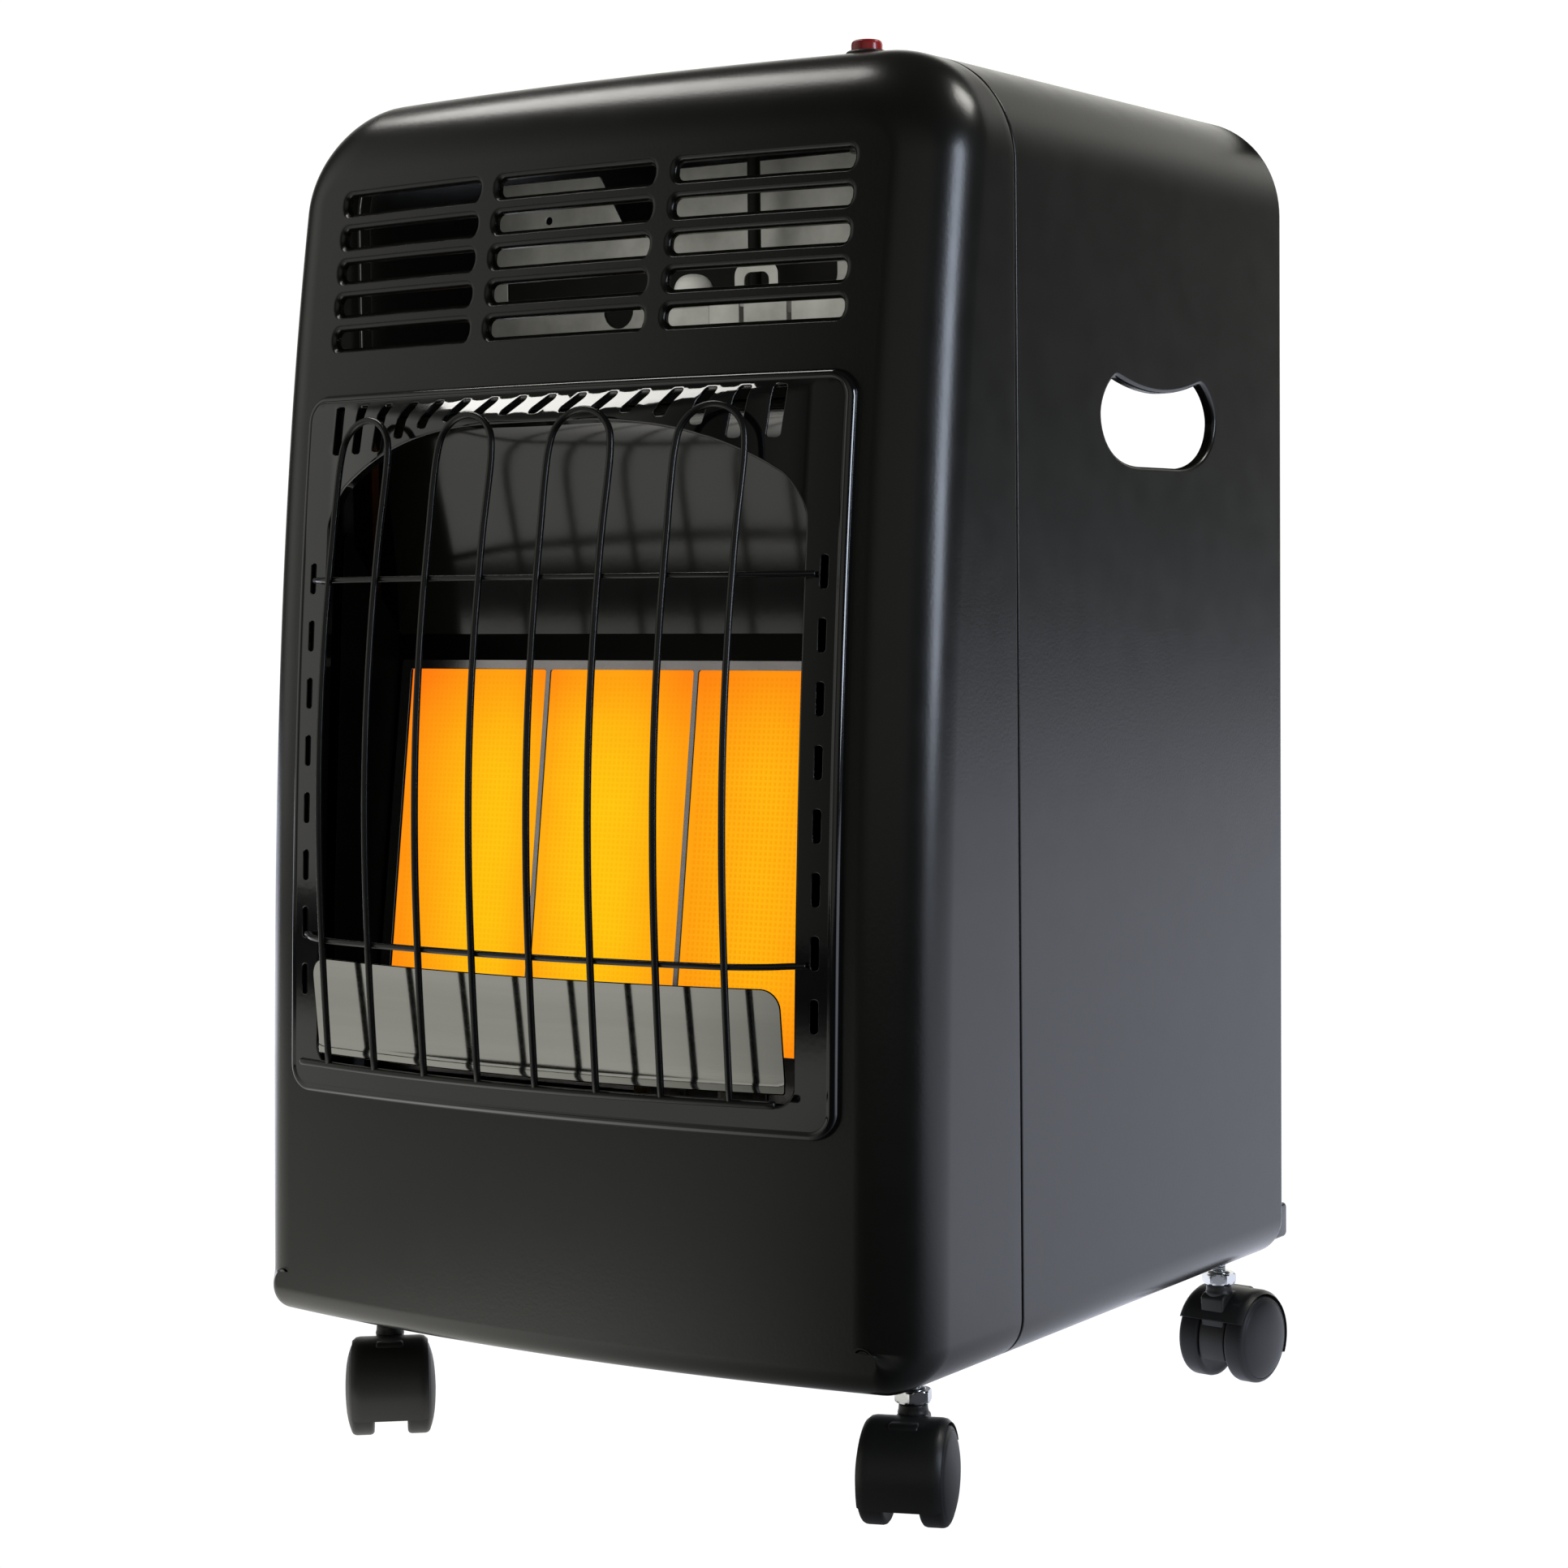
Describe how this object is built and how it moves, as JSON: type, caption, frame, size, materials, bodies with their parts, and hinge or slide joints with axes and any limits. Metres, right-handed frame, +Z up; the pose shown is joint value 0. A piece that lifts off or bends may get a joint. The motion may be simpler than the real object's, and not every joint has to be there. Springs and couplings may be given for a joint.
{
  "type": "portable gas cabinet heater",
  "caption": "Black sheet-metal cabinet heater on twin-wheel casters, with a bowed louvered front, wire guard, glowing ceramic plaques and a lift-off rear cover.",
  "frame": {"origin": "on the floor, under the middle of the bounding box", "axes": "+X to the right seen from the front, the window faces -Y, +Z up"},
  "size_m": [0.42, 0.4842, 0.7302],
  "materials": {
    "powder_coat": "semi-gloss black powder coat, fine orange peel",
    "gloss_enamel": "high-gloss black enamel",
    "guard_coating": "black coated wire, satin",
    "polished_steel": "bright rolled steel sheet",
    "heat_tinted_steel": "satin dark grey steel, heat tinted",
    "galvanised_sheet": "light grey galvanised sheet, satin",
    "zinc_plate": "bright zinc plate",
    "brass": "turned brass",
    "copper_tube": "drawn copper tube",
    "glowing_plaque": "porous ceramic, glowing orange to yellow",
    "black_plastic": "moulded black nylon, fine grain",
    "wheel_plastic": "moulded dark grey nylon",
    "red_plastic": "glossy red",
    "white_plastic": "off-white, satin",
    "white_ceramic": "glazed insulator",
    "lead_sleeve": "dark red silicone sleeve"
  },
  "bodies": {
    "cabinet": {"base_tray": "powder_coat", "bulkhead": "galvanised_sheet", "burner_box_left": "heat_tinted_steel", "burner_box_middle": "heat_tinted_steel", "burner_box_right": "heat_tinted_steel", "burner_frame": "polished_steel", "casing": "powder_coat", "caster_stem_front_left": "zinc_plate", "caster_stem_front_right": "zinc_plate", "caster_stem_rear_left": "zinc_plate", "caster_stem_rear_right": "zinc_plate", "ceramic_plaque_left": "glowing_plaque", "ceramic_plaque_middle": "glowing_plaque", "ceramic_plaque_right": "glowing_plaque", "control_well": "black_plastic", "front_panel": "powder_coat", "gas_rail": "zinc_plate", "gas_valve": "galvanised_sheet", "heat_shield": "galvanised_sheet", "igniter_body": "black_plastic", "igniter_collar": "black_plastic", "ignition_lead": "lead_sleeve", "injector_left": "brass", "injector_middle": "brass", "injector_right": "brass", "inlet_fitting": "brass", "lower_deflector": "polished_steel", "pilot_bracket": "polished_steel", "pilot_burner": "brass", "pilot_tube": "copper_tube", "side_reflector_left": "heat_tinted_steel", "side_reflector_right": "heat_tinted_steel", "spark_electrode": "white_ceramic", "supply_pipe": "copper_tube", "thermocouple": "polished_steel", "thermocouple_lead": "copper_tube", "tilt_switch": "black_plastic", "upper_reflector": "heat_tinted_steel", "valve_bracket": "galvanised_sheet", "valve_cap": "white_plastic", "window_bezel": "gloss_enamel", "wire_guard": "guard_coating"},
    "knob": {"control_knob": "black_plastic", "knob_spindle": "polished_steel"},
    "button": {"igniter_button": "red_plastic"},
    "rear_cover": {"rear_cover": "powder_coat"},
    "caster_front_left": {"caster_hood_front_left": "black_plastic"},
    "wheel_front_left_a": {"caster_wheel_front_left_a": "wheel_plastic"},
    "wheel_front_left_b": {"caster_wheel_front_left_b": "wheel_plastic"},
    "caster_front_right": {"caster_hood_front_right": "black_plastic"},
    "wheel_front_right_a": {"caster_wheel_front_right_a": "wheel_plastic"},
    "wheel_front_right_b": {"caster_wheel_front_right_b": "wheel_plastic"},
    "caster_rear_right": {"caster_hood_rear_right": "black_plastic"},
    "wheel_rear_right_a": {"caster_wheel_rear_right_a": "wheel_plastic"},
    "wheel_rear_right_b": {"caster_wheel_rear_right_b": "wheel_plastic"},
    "caster_rear_left": {"caster_hood_rear_left": "black_plastic"},
    "wheel_rear_left_a": {"caster_wheel_rear_left_a": "wheel_plastic"},
    "wheel_rear_left_b": {"caster_wheel_rear_left_b": "wheel_plastic"}
  },
  "joints": [
    {"name": "knob_turn", "type": "hinge", "parent": "cabinet", "child": "knob", "pos_m": [0.028, -0.05035, 0.705], "axis": [0, 0, 1], "range_deg": [0, 220]},
    {"name": "igniter_press", "type": "slide", "parent": "cabinet", "child": "button", "axis": [0, 0, -1], "range_m": [0, 0.0045], "stiffness_N_per_m": 2500},
    {"name": "rear_cover_lift_off", "type": "slide", "parent": "cabinet", "child": "rear_cover", "axis": [0, 1, 0], "range_m": [0, 0.25]},
    {"name": "swivel_front_left", "type": "hinge", "parent": "cabinet", "child": "caster_front_left", "pos_m": [-0.169, -0.13035, 0.05], "axis": [0, 0, 1], "continuous": true},
    {"name": "roll_front_left_a", "type": "hinge", "parent": "caster_front_left", "child": "wheel_front_left_a", "pos_m": [-0.16, -0.14107, 0.025], "axis": [0.766, 0.6428, 0], "continuous": true},
    {"name": "roll_front_left_b", "type": "hinge", "parent": "caster_front_left", "child": "wheel_front_left_b", "pos_m": [-0.16, -0.14107, 0.025], "axis": [0.766, 0.6428, 0], "continuous": true},
    {"name": "swivel_front_right", "type": "hinge", "parent": "cabinet", "child": "caster_front_right", "pos_m": [0.169, -0.13035, 0.05], "axis": [0, 0, 1], "continuous": true},
    {"name": "roll_front_right_a", "type": "hinge", "parent": "caster_front_right", "child": "wheel_front_right_a", "pos_m": [0.17379, -0.1435, 0.025], "axis": [0.9397, 0.342, 0], "continuous": true},
    {"name": "roll_front_right_b", "type": "hinge", "parent": "caster_front_right", "child": "wheel_front_right_b", "pos_m": [0.17379, -0.1435, 0.025], "axis": [0.9397, 0.342, 0], "continuous": true},
    {"name": "swivel_rear_right", "type": "hinge", "parent": "cabinet", "child": "caster_rear_right", "pos_m": [0.176, 0.19565, 0.05], "axis": [0, 0, 1], "continuous": true},
    {"name": "roll_rear_right_a", "type": "hinge", "parent": "caster_rear_right", "child": "wheel_rear_right_a", "pos_m": [0.17746, 0.20958, 0.025], "axis": [-0.9945, 0.1045, 0], "continuous": true},
    {"name": "roll_rear_right_b", "type": "hinge", "parent": "caster_rear_right", "child": "wheel_rear_right_b", "pos_m": [0.17746, 0.20958, 0.025], "axis": [-0.9945, 0.1045, 0], "continuous": true},
    {"name": "swivel_rear_left", "type": "hinge", "parent": "cabinet", "child": "caster_rear_left", "pos_m": [-0.176, 0.19565, 0.05], "axis": [0, 0, 1], "continuous": true},
    {"name": "roll_rear_left_a", "type": "hinge", "parent": "caster_rear_left", "child": "wheel_rear_left_a", "pos_m": [-0.17191, 0.20904, 0.025], "axis": [-0.9563, 0.2924, 0], "continuous": true},
    {"name": "roll_rear_left_b", "type": "hinge", "parent": "caster_rear_left", "child": "wheel_rear_left_b", "pos_m": [-0.17191, 0.20904, 0.025], "axis": [-0.9563, 0.2924, 0], "continuous": true}
  ]
}
